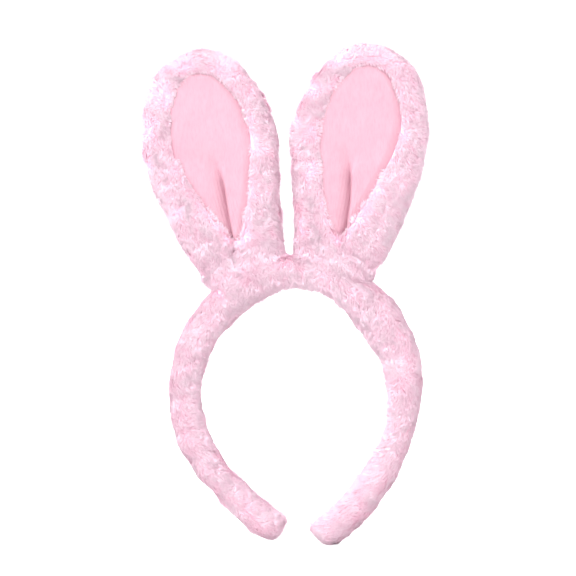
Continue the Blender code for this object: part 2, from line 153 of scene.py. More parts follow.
def patch_half_width(v):
    f = np.clip(1 - (v - PATCH_V0) / (PATCH_WIDEST_V - PATCH_V0), 0, 1)
    low = PATCH_W0 + (PATCH_W - PATCH_W0) * (1 - f ** 1.5)
    f = np.clip((v - PATCH_WIDEST_V) / (PATCH_V1 - PATCH_WIDEST_V), 0, 1)
    return np.where(v < PATCH_WIDEST_V, low, PATCH_W * np.clip(1 - f ** 1.9, 0, 1) ** (1 / 2.1))


def patch_mid(side, v):
    """The lining's middle line: it shifts inward towards its foot, and the
    right ear's is sewn in a little askew."""
    askew = 2.4 * smooth((v - 45.0) / 50.0) if side > 0 else 0.0
    return PATCH_U - 1.2 * smooth((60.0 - v) / 40.0) + askew


def to_flat(u, v):
    return EAR_X + u * math.cos(LEAN) + v * math.sin(LEAN), EAR_Z - u * math.sin(LEAN) + v * math.cos(LEAN)


def to_ear(x, z):
    dx, dz = x - EAR_X, z - EAR_Z
    return dx * math.cos(LEAN) - dz * math.sin(LEAN), dx * math.sin(LEAN) + dz * math.cos(LEAN)


def resample(points, count):
    p = np.vstack([points, points[:1]])
    d = np.concatenate([[0.0], np.cumsum(np.hypot(*np.diff(p, axis=0).T))])
    t = np.linspace(0.0, d[-1], count + 1)[:-1]
    return np.stack([np.interp(t, d, p[:, 0]), np.interp(t, d, p[:, 1])], axis=1)


def rounded(points, window):
    dense = resample(points, 1440)
    step = np.hypot(*(dense[1] - dense[0]))
    half = max(1, int(round(window / step / 2)))
    acc = np.zeros_like(dense)
    for k in range(-half, half + 1):
        acc += np.roll(dense, k, axis=0)
    return acc / (2 * half + 1)


def lobe(half_width, v0, v_widest, v1):
    low = v0 + (v_widest - v0) * np.arange(48) / 48
    high = v_widest + (v1 - v_widest) * np.sin(math.pi / 2 * np.arange(49) / 48)
    v = np.concatenate([low, high])
    w = half_width(v)
    return np.concatenate([np.stack([w, v], 1), np.stack([-w, v], 1)[:-1][::-1]])


def ray_hits(outline, angles):
    d = outline - EAR_CENTRE
    ang = np.unwrap(np.arctan2(d[:, 1], d[:, 0]))
    rad = np.hypot(d[:, 0], d[:, 1])
    if ang[-1] < ang[0]:
        ang, rad = ang[::-1], rad[::-1]
    target = ang[0] + (angles - ang[0]) % (2 * math.pi)
    r = np.interp(target, np.append(ang, ang[0] + 2 * math.pi), np.append(rad, rad[0]))
    return EAR_CENTRE + np.stack([r * np.cos(angles), r * np.sin(angles)], 1)


_sides = lobe(ear_half_width, 0.0, EAR_WIDEST_V, EAR_H)
_foot_r = ARC_R + BAND_R + EAR_BASE_GAP
_a = np.radians(np.linspace(*FOOT_ANGLES, 50))
_foot = np.stack(to_ear(_foot_r * np.sin(_a), ARC_CENTRE_Z + _foot_r * np.cos(_a)), 1)
_edge = rounded(np.vstack([_sides, _foot]), 9.0)
_lobe = lobe(patch_half_width, PATCH_V0, PATCH_WIDEST_V, PATCH_V1)
_patch = {s: rounded(np.stack([_lobe[:, 0] + patch_mid(s, _lobe[:, 1]), _lobe[:, 1]], 1), 6.0) for s in (-1, 1)}
N_RING = 160
_start = resample(_edge, N_RING)
_ang = np.arctan2(_start[:, 1] - EAR_CENTRE[1], _start[:, 0] - EAR_CENTRE[0])
EDGE, PATCH = ray_hits(_edge, _ang), {s: ray_hits(_patch[s], _ang) for s in (-1, 1)}
RIM = PATCH[-1] - EDGE
RIM_W = np.hypot(RIM[:, 0], RIM[:, 1])[:, None]


def foot_height(x, z):
    return np.hypot(x, z - ARC_CENTRE_Z) - (ARC_R + BAND_R)


def ear_depth(v):
    return EAR_BOW * smooth(v / EAR_H * 0.5) * 2.0


CREASE_V = (0.0, 9.0, 24.0, 36.0, 49.0, 61.0, 68.0, 76.0)
CREASE_U = {
    -1: (0.2, -0.2, -0.3, -1.2, -2.6, -1.0, 2.4, 7.0),
    1: (1.0, 1.0, 1.0, 0.8, -0.8, -3.8, -6.8, -9.4),
}


def crease_u(side, v):
    """The pleat's line, up the foot of the lining."""
    v = np.asarray(v, float)
    return sum(np.interp(v + d, CREASE_V, CREASE_U[side]) for d in (-5.0, -2.5, 0.0, 2.5, 5.0)) / 5.0


def front_shift(side, u, v):
    """How far the front face moves back (+) or forward (-): a pleat's valley in
    the lower middle, gentle on its left and steep on its right as seen from the
    front, with the sides of the foot curling forward round it."""
    fade = smooth((80.0 - v) / 36.0) * smooth((v + 6.0) / 14.0)
    sharp = smooth((70.0 - v) / 18.0)
    d = u - crease_u(side, v)
    e = d * side
    reach = np.where(e < 0, 3.8 + 7.0 * (1 - sharp), 0.8 + 6.0 * (1 - sharp))
    valley = np.exp(-(np.abs(e) / reach) ** 1.3)
    roll = (np.abs(d) / 26.0) ** 1.5
    return fade * (5.2 * valley - 1.5 * smooth(roll))


def ear_point(side, u, v, w, front=0.0):
    u = u - 1.6 * smooth((16.0 - v) / 18.0)
    x, z = to_flat(u, v)
    thin = 0.5 + 0.5 * smooth((foot_height(x, z) - EAR_BASE_GAP) / 20.0)
    y = w * thin + ear_depth(v)
    y = y + front * front_shift(side, u, v)
    return np.stack([side * x, y + 0 * x, z], -1)


# ------------------------------------------------------------------ meshes
def mesh_object(name, verts, faces, mat, uv=None):
    """verts in mm; faces is a list of (n, k) index arrays; uv one pair a loop."""
    me = bpy.data.meshes.new(name)
    loops = np.concatenate([f.ravel() for f in faces]).astype(np.int32)
    sizes = np.concatenate([np.full(len(f), f.shape[1]) for f in faces])
    starts = np.concatenate([[0], np.cumsum(sizes)[:-1]]).astype(np.int32)
    me.vertices.add(len(verts))
    me.vertices.foreach_set("co", (np.asarray(verts) * MM).astype(np.float32).ravel())
    me.loops.add(len(loops))
    me.loops.foreach_set("vertex_index", loops)
    me.polygons.add(len(sizes))
    me.polygons.foreach_set("loop_start", starts)
    if uv is not None:
        layer = me.uv_layers.new(name="OFBake")
        layer.data.foreach_set("uv", np.asarray(uv).astype(np.float32).ravel())
    me.update(calc_edges=True)
    me.shade_smooth()
    me.materials.append(mat)
    ob = bpy.data.objects.new(name, me)
    bpy.context.scene.collection.objects.link(ob)
    return ob


def to_tris(quads):
    return np.concatenate([quads[:, [0, 1, 2]], quads[:, [0, 2, 3]]])


def signed_volume(verts, tris):
    a, b, c = (verts[tris[:, k]] for k in range(3))
    return np.einsum("ij,ij->i", a - verts.mean(0), np.cross(b, c)).sum()


def vertex_normals(verts, tris):
    a, b, c = (verts[tris[:, k]] for k in range(3))
    fn = np.cross(b - a, c - a)
    n = np.zeros_like(verts)
    for k in range(3):
        np.add.at(n, tris[:, k], fn)
    return unit(n)


class Loft:
    """Rows of n points each, joined into a closed skin: a ring of rings, or a
    tube with its two ends closed."""

    def __init__(self, rows, ring_loop=False):
        self.n = len(rows[0])
        self.rows = len(rows)
        self.ring_loop = ring_loop
        self.verts = np.concatenate(rows)
        n, i = self.n, np.arange(self.n)
        quads, uv = [], []
        last = self.rows if ring_loop else self.rows - 1
        for k in range(last):
            a, b = k * n, ((k + 1) % self.rows) * n
            quads.append(np.stack([a + i, a + (i + 1) % n, b + (i + 1) % n, b + i], 1))
            u0, u1 = i / n, (i + 1) / n
            v0, v1 = np.full(n, k / last) * 0.96, np.full(n, (k + 1) / last) * 0.96
            uv.append(np.stack([np.stack([u0, v0], 1), np.stack([u1, v0], 1), np.stack([u1, v1], 1), np.stack([u0, v1], 1)], 1))
        self.quads, self.uv = np.concatenate(quads), np.concatenate(uv)
        self.flip = signed_volume(self.verts, to_tris(self.quads)) < 0
        if self.flip:
            self.quads, self.uv = self.quads[:, ::-1], self.uv[:, ::-1]

    def normals(self):
        return vertex_normals(self.verts, to_tris(self.quads))

    def outer_tris(self, first, last):
        """Triangles between rows first and last."""
        t = to_tris(self.quads)
        return t[(t.min(1) >= first * self.n) & (t.max(1) < (last + 1) * self.n)]

    def build(self, name, mat):
        faces, uv = [self.quads], [self.uv.reshape(-1, 2)]
        if not self.ring_loop:
            lo, hi = np.arange(self.n)[None, ::-1], (self.rows - 1) * self.n + np.arange(self.n)[None]
            for cap in (lo, hi):
                faces.append(cap[:, ::-1] if self.flip else cap)
                t = 2 * math.pi * np.arange(self.n) / self.n
                uv.append(np.stack([0.5 + 0.01 * np.cos(t), 0.98 + 0.01 * np.sin(t)], 1))
        return mesh_object(name, self.verts, faces, mat, np.concatenate(uv))


def cut_in_two(ob, co, no, names):
    """Cut a closed piece by a plane into two closed pieces that meet exactly."""
    out = []
    for name, which in zip(names, (1, -1)):
        bm = bmesh.new()
        bm.from_mesh(ob.data)
        bmesh.ops.bisect_plane(
            bm, geom=bm.verts[:] + bm.edges[:] + bm.faces[:], dist=1e-7,
            plane_co=Vector(co) * MM, plane_no=Vector(no) * which, clear_outer=True,
        )
        rim = [e for e in bm.edges if e.is_boundary]
        made = bmesh.ops.holes_fill(bm, edges=rim, sides=0)["faces"]
        for f in made:
            f.smooth = False
            for e in f.edges:
                e.smooth = False
        bmesh.ops.triangulate(bm, faces=made)
        me = bpy.data.meshes.new(name)
        bm.to_mesh(me)
        bm.free()
        for m in ob.data.materials:
            me.materials.append(m)
        piece = bpy.data.objects.new(name, me)
        bpy.context.scene.collection.objects.link(piece)
        out.append(piece)
    me = ob.data
    bpy.data.objects.remove(ob, do_unlink=True)
    bpy.data.meshes.remove(me)
    return out


def tube_rows(points, radius, sides=8, closed=False):
    """Rings round a path, for a wire or a thread."""
    p = np.asarray(points, float)
    if closed:
        tan = unit(np.roll(p, -1, 0) - np.roll(p, 1, 0))
    else:
        tan = unit(np.gradient(p, axis=0))
    ref = np.array((0.0, 1.0, 0.0))
    a = unit(np.cross(tan, ref) + 1e-9)
    b = np.cross(tan, a)
    t = 2 * math.pi * np.arange(sides) / sides
    rad = np.full(len(p), radius)
    if not closed:
        rad[0] *= 0.6
        rad[-1] *= 0.6
    return [q + (np.cos(t)[:, None] * a[i] + np.sin(t)[:, None] * b[i]) * rad[i] for i, q in enumerate(p)]


# ------------------------------------------------------------------ materials
def nodes_of(m):
    m.use_nodes = True
    nt = m.node_tree
    return nt, nt.nodes["Principled BSDF"]


def noise_node(nt, scale, detail=2.0, rough=0.5, coords=None, distortion=0.0):
    n = nt.nodes.new("ShaderNodeTexNoise")
    n.inputs["Scale"].default_value = scale
    n.inputs["Detail"].default_value = detail
    n.inputs["Roughness"].default_value = rough
    n.inputs["Distortion"].default_value = distortion
    if coords is not None:
        nt.links.new(coords, n.inputs["Vector"])
    return n


def ramp_node(nt, fac, stops):
    r = nt.nodes.new("ShaderNodeValToRGB")
    r.color_ramp.interpolation = "EASE"
    while len(r.color_ramp.elements) < len(stops):
        r.color_ramp.elements.new(0.5)
    for e, (pos, col) in zip(r.color_ramp.elements, stops):
        e.position = pos
        e.color = (*col, 1.0)
    nt.links.new(fac, r.inputs["Fac"])
    return r


def mix_rgb(nt, kind, fac, a, b):
    m = nt.nodes.new("ShaderNodeMix")
    m.data_type = "RGBA"
    m.blend_type = kind
    m.clamp_result = True
    for sock, val in (("Factor", fac), ("A", a), ("B", b)):
        s = next(i for i in m.inputs if i.name == sock and (i.type == "RGBA" if sock != "Factor" else i.type == "VALUE"))
        if hasattr(val, "is_linked") or hasattr(val, "links"):
            nt.links.new(val, s)
        elif isinstance(val, (int, float)):
            s.default_value = val
        else:
            s.default_value = (*val, 1.0)
    return next(o for o in m.outputs if o.type == "RGBA")


GRID = 140  # strand cells a side in the strands' own UV map

# strand colour from root to end: the darker root is painted shade, the paler end a painted highlight
ROOT_SHADE = (0.98, 0.70, 0.82)
TIP = (0.99, 0.77, 0.87)
TIP_HIGHLIGHT = (0.995, 0.81, 0.895)


def fur_material():
    m = bpy.data.materials.new("pink_fur_pile")
    nt, b = nodes_of(m)
    tex = nt.nodes.new("ShaderNodeTexCoord")
    uv = nt.nodes.new("ShaderNodeUVMap")
    uv.uv_map = "OFBake"
    sep = nt.nodes.new("ShaderNodeSeparateXYZ")
    nt.links.new(uv.outputs["UV"], sep.inputs[0])
    mul = nt.nodes.new("ShaderNodeMath")
    mul.operation = "MULTIPLY"
    mul.inputs[1].default_value = GRID
    nt.links.new(sep.outputs["Y"], mul.inputs[0])
    fr = nt.nodes.new("ShaderNodeMath")
    fr.operation = "FRACT"
    nt.links.new(mul.outputs[0], fr.inputs[0])
    # painted shade at the root, painted highlight towards the strand's end
    along = ramp_node(nt, fr.outputs[0], [(0.05, ROOT_SHADE), (0.45, TIP), (0.95, TIP_HIGHLIGHT)])
    # painted light and shade: pale and darker patches stand in for light falling on pile that lies different ways
    patch = noise_node(nt, 130.0, 2.0, 0.5, tex.outputs["Object"], 0.6)
    painted_nap_shade = ramp_node(nt, patch.outputs["Fac"], [(0.34, (0.985, 0.90, 0.935)), (0.50, (1.0, 0.965, 0.98)), (0.66, (1, 1, 1))])
    col = mix_rgb(nt, "MULTIPLY", 1.0, along.outputs["Color"], painted_nap_shade.outputs["Color"])
    fine = noise_node(nt, 900.0, 1.0, 0.5, tex.outputs["Object"])
    vary = ramp_node(nt, fine.outputs["Fac"], [(0.3, (0.95, 0.90, 0.93)), (0.6, (1, 1, 1))])
    col = mix_rgb(nt, "MULTIPLY", 0.7, col, vary.outputs["Color"])
    nt.links.new(col, b.inputs["Base Color"])
    b.inputs["Roughness"].default_value = 0.62
    b.inputs["Specular IOR Level"].default_value = 0.12
    return m


def backing_material():
    m = bpy.data.materials.new("pink_fur_backing")
    nt, b = nodes_of(m)
    tex = nt.nodes.new("ShaderNodeTexCoord")
    n = noise_node(nt, 420.0, 3.0, 0.6, tex.outputs["Object"])
    r = ramp_node(nt, n.outputs["Fac"], [(0.3, (0.93, 0.55, 0.69)), (0.7, (0.95, 0.62, 0.75))])
    nt.links.new(r.outputs["Color"], b.inputs["Base Color"])
    b.inputs["Roughness"].default_value = 0.95
    bump = nt.nodes.new("ShaderNodeBump")
    bump.inputs["Strength"].default_value = 0.5
    bump.inputs["Distance"].default_value = 0.0006
    nt.links.new(n.outputs["Fac"], bump.inputs["Height"])
    nt.links.new(bump.outputs["Normal"], b.inputs["Normal"])
    return m


def velour_material():
    m = bpy.data.materials.new("pink_velour_nap")
    nt, b = nodes_of(m)
    tex = nt.nodes.new("ShaderNodeTexCoord")
    mp = nt.nodes.new("ShaderNodeMapping")
    mp.inputs["Scale"].default_value = (1.0, 1.0, 0.22)
    nt.links.new(tex.outputs["Object"], mp.inputs["Vector"])
    streak = noise_node(nt, 1100.0, 3.0, 0.6, mp.outputs["Vector"])
    cloud = noise_node(nt, 70.0, 3.0, 0.55, tex.outputs["Object"], 0.4)
    base = ramp_node(nt, cloud.outputs["Fac"], [(0.3, (0.53, 0.292, 0.358)), (0.7, (0.55, 0.310, 0.376))])
    fine = ramp_node(nt, streak.outputs["Fac"], [(0.25, (0.93, 0.88, 0.90)), (0.6, (1, 1, 1))])
    col = mix_rgb(nt, "MULTIPLY", 0.8, base.outputs["Color"], fine.outputs["Color"])
    nt.links.new(col, b.inputs["Base Color"])
    b.inputs["Roughness"].default_value = 0.9
    b.inputs["Specular IOR Level"].default_value = 0.15
    b.inputs["Sheen Weight"].default_value = 0.05
    b.inputs["Sheen Roughness"].default_value = 0.4
    b.inputs["Sheen Tint"].default_value = (1.0, 0.88, 0.94, 1.0)
    bump = nt.nodes.new("ShaderNodeBump")
    bump.inputs["Strength"].default_value = 0.35
    bump.inputs["Distance"].default_value = 0.0003
    nt.links.new(streak.outputs["Fac"], bump.inputs["Height"])
    nt.links.new(bump.outputs["Normal"], b.inputs["Normal"])
    return m


FUR = fur_material()
BACKING = backing_material()
VELOUR = velour_material()


def plain_material(name, colour, rough, scale, spread, bump, metal=0.0, stretch=(1, 1, 1)):
    """Hidden parts: a noise-varied colour with a fine surface."""
    m = bpy.data.materials.new(name)
    nt, b = nodes_of(m)
    tex = nt.nodes.new("ShaderNodeTexCoord")
    mp = nt.nodes.new("ShaderNodeMapping")
    mp.inputs["Scale"].default_value = stretch
    nt.links.new(tex.outputs["Object"], mp.inputs["Vector"])
    n = noise_node(nt, scale, 4.0, 0.6, mp.outputs["Vector"])
    dark = tuple(c * (1 - spread) for c in colour)
    r = ramp_node(nt, n.outputs["Fac"], [(0.3, dark), (0.7, colour)])
    nt.links.new(r.outputs["Color"], b.inputs["Base Color"])
    b.inputs["Roughness"].default_value = rough
    b.inputs["Metallic"].default_value = metal
    bp = nt.nodes.new("ShaderNodeBump")
    bp.inputs["Strength"].default_value = bump
    bp.inputs["Distance"].default_value = 0.0003
    nt.links.new(n.outputs["Fac"], bp.inputs["Height"])
    nt.links.new(bp.outputs["Normal"], b.inputs["Normal"])
    return m


PLASTIC = plain_material("moulded_white_plastic", (0.82, 0.81, 0.78), 0.42, 900.0, 0.05, 0.08)
FOAM = plain_material("open_cell_foam", (0.88, 0.87, 0.83), 0.95, 1400.0, 0.25, 0.8)
WADDING = plain_material("polyester_fibre", (0.93, 0.93, 0.93), 0.9, 500.0, 0.12, 0.9, 0.0, (1.0, 1.0, 0.3))
STEEL = plain_material("drawn_steel", (0.62, 0.62, 0.64), 0.3, 2500.0, 0.15, 0.15, 1.0, (1.0, 1.0, 0.1))
TAPE = plain_material("woven_cotton_tape", (0.85, 0.83, 0.78), 0.9, 3000.0, 0.2, 0.7, 0.0, (1.0, 0.4, 1.0))


# ------------------------------------------------------------------ the pile
swirl_big = Waves(3, 16.0, 34.0, 40, 3)
swirl_fine = Waves(4, 6.0, 12.0, 60, 3)
lump = Waves(5, 6.0, 13.0, 50, 1)


def scatter(verts, tris, per_mm2, seed):
    r = np.random.default_rng(seed)
    a, b, c = (verts[tris[:, k]] for k in range(3))
    area = 0.5 * np.linalg.norm(np.cross(b - a, c - a), axis=1)
    count = int(area.sum() * per_mm2)
    pick = r.choice(len(tris), count, p=area / area.sum())
    u, v = r.uniform(size=(2, count))
    over = u + v > 1
    u[over], v[over] = 1 - u[over], 1 - v[over]
    w = np.stack([1 - u - v, u, v], 1)
    n = vertex_normals(verts, tris)
    t = tris[pick]
    return np.einsum("ij,ijk->ik", w, verts[t]), unit(np.einsum("ij,ijk->ik", w, n[t]))


def near_order(p):
    """Neighbours in space stay near each other in the UV grid."""
    q = ((p - p.min(0)) / 1.5).astype(np.int64)
    key = np.zeros(len(p), np.int64)
    for bit in range(9):
        for ax in range(3):
            key |= ((q[:, ax] >> bit) & 1) << (3 * bit + ax)
    return np.argsort(key, kind="stable")


ALONG = np.array([0, 0, 0, 0.5, 0.5, 0.5, 1.0])
ASIDE = np.array([0.2, 0.5, 0.8] * 2 + [0.5])
SPIKE = [(0, 2, 1)]
for _j in range(3):
    _b = (_j + 1) % 3
    SPIKE += [(_j, _b, _b + 3), (_j, _b + 3, _j + 3), (3 + _j, 3 + _b, 6)]
SPIKE = np.array(SPIKE)


class Pile:
    """Lying fur: every strand is a closed, tapering, curved spike."""

    def __init__(self, roots, normals, grain, seed, length=6.0, lift=2.0, width=0.45, wild=0.02, tuft=4.6, pull=0.22, swirl=1.0):
        r = np.random.default_rng(seed)
        n = len(roots)
        self.roots = roots
        d = grain + (swirl_big(roots) * 0.32 + swirl_fine(roots) * 0.13) * swirl + r.normal(size=(n, 3)) * 0.15
        d = unit(d - normals * np.einsum("ij,ij->i", d, normals)[:, None])
        length = length * r.uniform(0.7, 1.15, n)
        high = lump(roots)[:, 0]
        rise = lift * np.clip(1.0 + 0.11 * high, 0.7, 1.3) * r.uniform(0.7, 1.1, n)
        stray = r.uniform(size=n) < wild
        rise = np.where(stray, rise * 1.55, rise)
        width = np.where(stray, width * 0.55, width) * r.uniform(0.75, 1.2, n)
        tip = roots + d * length[:, None] * 0.93 + normals * rise[:, None]
        # tufts: each tip is drawn towards the tip of its tuft's middle strand
        area = n / DENSITY
        hubs = r.choice(n, min(n, max(1, int(area / (tuft * tuft)))), replace=False)
        kd = kdtree.KDTree(len(hubs))
        for i, k in enumerate(hubs):
            kd.insert(roots[k], i)
        kd.balance()
        hub = hubs[np.array([kd.find(q)[1] for q in roots])]
        same = np.einsum("ij,ij->i", normals, normals[hub]) > 0.6
        amount = np.where(same & ~stray, pull * r.uniform(0.5, 1.0, n), 0.0)[:, None]
        tip = tip * (1 - amount) + (tip[hub] + r.normal(size=(n, 3)) * 0.4) * amount

        # a strand stands up at its root, then lies over
        start = roots - normals * 0.5
        knee = roots + (tip - roots) * 0.36 + normals * (rise * 0.66)[:, None]
        pts = [start * (1 - t) ** 2 + knee * (2 * t * (1 - t)) + tip * t * t for t in (0.0, 0.5, 1.0)]
        verts = np.empty((n, 7, 3))
        for k, share in enumerate((1.0, 0.85)):
            tan = unit(pts[1] - pts[0]) if k == 0 else unit(pts[k + 1] - pts[k - 1])
            across = unit(np.cross(tan, normals))
            up = np.cross(across, tan)
            rad = (width / 2 * share)[:, None]
            for j, a in enumerate((30.0, 150.0, 270.0)):
                a = math.radians(a)
                verts[:, k * 3 + j] = pts[k] + (across * math.cos(a) * 1.25 + up * math.sin(a) * 0.7) * rad
        verts[:, 6] = pts[2]
        self.verts = verts
        v = verts[0]
        t = v[SPIKE]
        vol = np.einsum("ij,ij->i", t[:, 0] - v.mean(0), np.cross(t[:, 1] - t[:, 0], t[:, 2] - t[:, 0])).sum()
        self.spike = SPIKE if vol > 0 else SPIKE[:, ::-1]

    def build(self, name, keep=None):
        """Make the strands (or those in keep) into pieces of at most one UV grid."""
        which = np.arange(len(self.roots)) if keep is None else np.nonzero(keep)[0]
        which = which[near_order(self.roots[which])]
        n = len(which)
        pieces = max(1, math.ceil(n / (GRID * GRID)))
        out = []
        for part in range(pieces):
            pick = which[part * n // pieces : (part + 1) * n // pieces]
            m = len(pick)
            idx = (np.arange(m)[:, None, None] * 7 + self.spike[None]).reshape(-1, 3)
            cell = np.arange(m)
            uv = np.empty((m, 7, 2))
            uv[:, :, 0] = ((cell % GRID)[:, None] + 0.1 + 0.8 * ASIDE[None]) / GRID
            uv[:, :, 1] = ((cell // GRID)[:, None] + 0.06 + 0.88 * ALONG[None]) / GRID
            ob = mesh_object(
                name if pieces == 1 else f"{name}_{part + 1}", self.verts[pick].reshape(-1, 3), [idx], FUR,
                uv.reshape(-1, 2)[idx.ravel()],
            )
            out.append(ob)
        return out


DENSITY = 5.0
WIDTH = 0.25


# ------------------------------------------------------------------ baking the pieces' transforms, and cutting the ear pieces at the foot
def at(side, s, r=0.0):
    return tuple(band_co(side, np.array([s]), r, np.array([0.0]))[0] * MM)


def follow_arm(ob, side):
    at(side, FLEX_S - 13.0)
    at(side, FLEX_S + 15.0)
    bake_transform(ob)


# a band of cloth across an ear's foot, square to the foot's middle line, and the plane the ear pieces are cut at,
# measured from the centre of the crown's arc
FOOT_A = math.radians(sum(FOOT_ANGLES) / 2)
BEND_D0, BEND_D1, SPLIT_D = 70.5, 97.0, 98.5


def foot_dir(side):
    return np.array((side * math.sin(FOOT_A), 0.0, math.cos(FOOT_A)))


def foot_d(side, co):
    return (co - np.array((0.0, 0.0, ARC_CENTRE_Z))) @ foot_dir(side)


def follow_tilt(ob):
    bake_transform(ob)


def follow_fold(ob, side):
    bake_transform(ob)


def split_ear_piece(ob, side, names):
    """Cut a piece in two at the foot, into a low part and the rest."""
    co = np.array((0.0, 0.0, ARC_CENTRE_Z)) + foot_dir(side) * SPLIT_D
    low, high = cut_in_two(ob, co, foot_dir(side), names)
    follow_tilt(low)
    follow_fold(high, side)
    return low, high


def grow_on_ear(pile, name, side):
    low = foot_d(side, pile.roots) < SPLIT_D
    made = []
    for ob in pile.build(name + "_low", low):
        follow_tilt(ob)
        made.append(ob)
    for ob in pile.build(name + "_high", ~low):
        follow_fold(ob, side)
        made.append(ob)
    return made


# ------------------------------------------------------------------ band: cloth sleeve and pile
# how far the furry band reaches inward and outward of its centreline: it is
# hand stuffed, so it is fuller by the ears and a little uneven down the arms
GIRTH_S = (0, 12, 24, 36, 48, 60, 76, 92, 108, 124, 140, 156, 172, 188, 204, 218)
GIRTH_IN = {
    -1: (10.2, 11.2, 13.4, 14.0, 13.8, 13.2, 11.8, 10.4, 9.0, 8.8, 9.6, 9.6, 10.4, 11.6, 10.8, 10.2),
    1: (10.2, 9.8, 10.4, 12.2, 13.4, 15.1, 14.9, 12.4, 11.0, 10.2, 9.0, 9.8, 10.3, 10.3, 9.2, 7.8),
}
GIRTH_OUT = {
    -1: (11.9, 10.2, 10.2, 10.4, 10.6, 10.8, 11.3, 10.8, 11.9, 12.2, 12.2, 10.8, 8.8, 8.8, 10.2, 10.2),
    1: (11.9, 10.4, 10.2, 10.4, 12.2, 14.8, 13.4, 13.6, 12.8, 10.9, 10.0, 10.2, 11.4, 12.0, 13.2, 14.2),
}
# the inner face leans: wider behind than in front, most of all left of the crown
SLANT = {
    -1: (0.0, 1.4, 4.6, 6.0, 5.6, 3.6, 2.0, 1.6, 1.6, 1.4, 1.2, 1.0, 0.8, 0.6, 0.4, 0.2),
    1: (0.0, 0.2, 0.5, 0.8, 1.0, 1.0, 1.0, 1.0, 1.0, 0.8, 0.8, 0.6, 0.6, 0.4, 0.4, 0.2),
}
TIP_LONGER = {-1: -0.3, 1: 3.2}


def build_band(side, word):
    n = 60
    t = 2 * math.pi * (np.arange(n) + 0.5) / n
    r0, y0 = superellipse(t, 1.0, 1.0, BAND_POWER)
    rb, yb = superellipse(t, 1.0, 1.0, 4.0)
    s_out = np.linspace(-2.0, BAND_LEN + TIP_LONGER[side], 152)

    def reach(s):
        g = [np.interp(s, GIRTH_S, table[side]) - PILE for table in (GIRTH_OUT, GIRTH_IN)]
        slant = np.interp(s, GIRTH_S, SLANT[side]) * y0 * 0.5
        return np.where(r0 > 0, g[0], g[1] + slant)

    rows = []
    for s in s_out[::-1][4::4]:
        h = np.minimum(6.65, np.interp(s, GIRTH_S, GIRTH_OUT[side]) - PILE - 0.35)
        rows.append(band_co(side, np.full(n, s), rb * h, yb * 8.55))
    first = len(rows)
    for s in s_out:
        rows.append(band_co(side, np.full(n, s), r0 * reach(s), y0 * (BAND_Y - PILE)))
    # a rounded end, drawn together in the middle with a ring of small pleats
    end = s_out[-1]
    for a in np.radians([12, 24, 36, 47, 57, 66, 74, 81, 86]):
        c, q = math.cos(a), math.sin(a)
        pleat = 1.0 + 0.05 * np.sin(9 * t) * smooth((a - 0.7) / 0.6)
        dip = 1.6 * smooth((a - 1.05) / 0.45)
        rows.append(band_co(side, np.full(n, end + 9.0 * q - dip), r0 * reach(end) * c * pleat, y0 * (BAND_Y - PILE) * c * pleat))
    skin = Loft(rows)
    nrm = skin.normals()
    grow_from = np.zeros(len(skin.verts))
    grow_from[first * n:] = 1.0
    off_middle = smooth(np.abs(skin.verts[:, 0]) / 6.0)
    lumps = Waves(11, 9.0, 26.0, 50, 1)(skin.verts)[:, 0]
    skin.verts = skin.verts + nrm * (0.3 * lumps * grow_from * off_middle)[:, None]
    cloth = skin.build(word + "_band_sleeve", BACKING)
    tris = skin.outer_tris(first, skin.rows - 1)
    p, nn = scatter(skin.verts, tris, DENSITY, 31 + side)
    own = side * p[:, 0] > 0.0
    p, nn = p[own], nn[own]
    stations = np.linspace(0, BAND_LEN, 400)
    x, z, ang = band_point(stations)
    k2 = kdtree.KDTree(400)
    for i in range(400):
        k2.insert((side * x[i], 0, z[i]), i)
    k2.balance()
    hit = np.array([k2.find((q[0], 0, q[2]))[1] for q in p])
    # the pile runs down the arms and hangs over the inner edge of the front,
    # where it makes a fringe; on the inner face it is worn short
    sh = stations[hit]
    run = smooth((sh - 6.0) / 45.0)[:, None]
    tang = np.stack([side * np.cos(ang[hit]), 0 * hit, -np.sin(ang[hit])], -1)
    inward = -np.stack([side * np.sin(ang[hit]), 0 * hit, np.cos(ang[hit])], -1)
    away = np.einsum("ij,ij->i", p - np.stack([side * x[hit], 0 * hit, z[hit]], -1), -inward)
    facing = np.einsum("ij,ij->i", nn, inward)
    front = smooth((-nn[:, 1] + 0.2) / 0.6)
    hang = front * smooth((2.0 - away) / 7.0) * smooth((0.9 - facing) / 0.3)
    worn = smooth((facing - 0.72) / 0.2)
    grain = tang * 0.5 * run + inward * (0.25 + 0.55 * hang * (1 - 0.45 * run[:, 0]))[:, None] + np.array((0.08, 0.0, -0.1)) * (1 - run)
    pile = Pile(
        p, nn, grain, 41 + side, length=6.0 - 2.6 * worn + 1.2 * hang, lift=1.95 - 0.9 * worn + 0.35 * hang,
        width=WIDTH, pull=0.2 + 0.2 * hang, swirl=0.7,
    )
    r = np.random.default_rng(141 + side)
    edge = smooth((away + 9.5) / 3.0) * smooth((-1.0 - away) / 3.0) * front * (1.0 - worn)
    lock = r.uniform(size=len(p)) < 0.34 * edge
    slope = np.array((0.35, 0.0, -0.05)) * (1 - run) + tang * 0.35 * run
    fringe = Pile(
        p[lock], nn[lock], (inward * 0.8 + slope)[lock], 151 + side, length=7.4, lift=2.5,
        width=WIDTH * 1.1, tuft=1.1, pull=0.72, swirl=0.5, wild=0.05,
    )
    for ob in [cloth] + pile.build(word + "_band_pile") + fringe.build(word + "_band_fringe"):
        follow_arm(ob, side)
    return cloth


# ------------------------------------------------------------------ ears
BULGE = {  # the outline's own unevenness, sixteen stations round from the outer foot
    -1: (-1.0, 0.2, 0.6, 1.0, 0.6, 0.9, 0.4, 1.1, 0.8, 1.0, 0.2, -1.2, -1.3, 0.2, 0.4, 0.0),
    1: (-1.0, 0.2, 1.0, -0.2, 0.2, 1.9, -0.9, -0.9, -1.5, -0.4, 0.6, -0.3, -1.4, -1.6, 0.0, 0.0),
}


